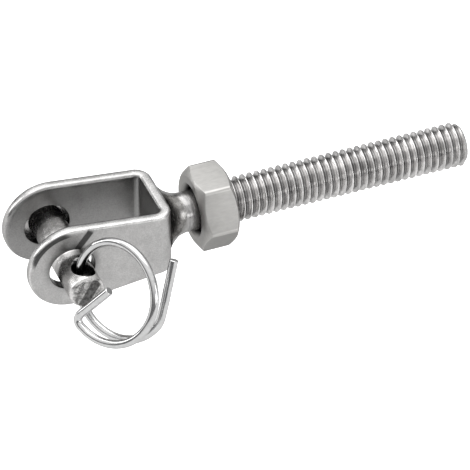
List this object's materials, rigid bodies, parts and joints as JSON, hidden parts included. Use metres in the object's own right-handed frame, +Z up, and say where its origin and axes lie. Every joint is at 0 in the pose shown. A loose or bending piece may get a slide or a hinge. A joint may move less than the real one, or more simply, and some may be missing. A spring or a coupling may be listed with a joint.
{
  "type": "threaded fork terminal of a rigging turnbuckle",
  "caption": "Stainless threaded fork terminal of a rigging turnbuckle: a clevis fork with pin and split ring, welded to a threaded stud with a hexagonal lock nut",
  "frame": {"origin": "centre of the clevis holes, midway between the two ears", "axes": "+X along the stud to its threaded end, -Y to the side of the pin's tip and its split ring, +Z up"},
  "size_m": [0.0614, 0.027, 0.0135],
  "materials": {
    "satin_steel": "tumbled satin with bright rounded edges",
    "thread_steel": "rolled thread, bright flanks with dark streaks",
    "weld_steel": "blended weld, darker and slightly uneven",
    "nut_steel": "light satin, faintly mottled",
    "pin_steel": "bright turned sides and a sawn end",
    "spring_steel": "drawn bright wire"
  },
  "bodies": {
    "terminal": {"fork": "satin_steel", "threaded_stud": "thread_steel", "weld_fillet": "weld_steel"},
    "nut": {"lock_nut": "nut_steel"},
    "pin": {"clevis_pin": "pin_steel"},
    "ring": {"cotter_ring": "spring_steel"}
  },
  "joints": [
    {"name": "nut_travel", "type": "slide", "parent": "terminal", "child": "nut", "axis": [1, 0, 0], "range_m": [0, 0.0325]},
    {"name": "pin_spin", "type": "hinge", "parent": "terminal", "child": "pin", "pos_m": [0.00028, 0, -0.00035], "axis": [0, 1, 0], "continuous": true},
    {"name": "ring_swing", "type": "hinge", "parent": "pin", "child": "ring", "pos_m": [0.00028, -0.00775, -0.00035], "axis": [0.1994, 0, 0.9799], "range_deg": [-85, 45]}
  ]
}
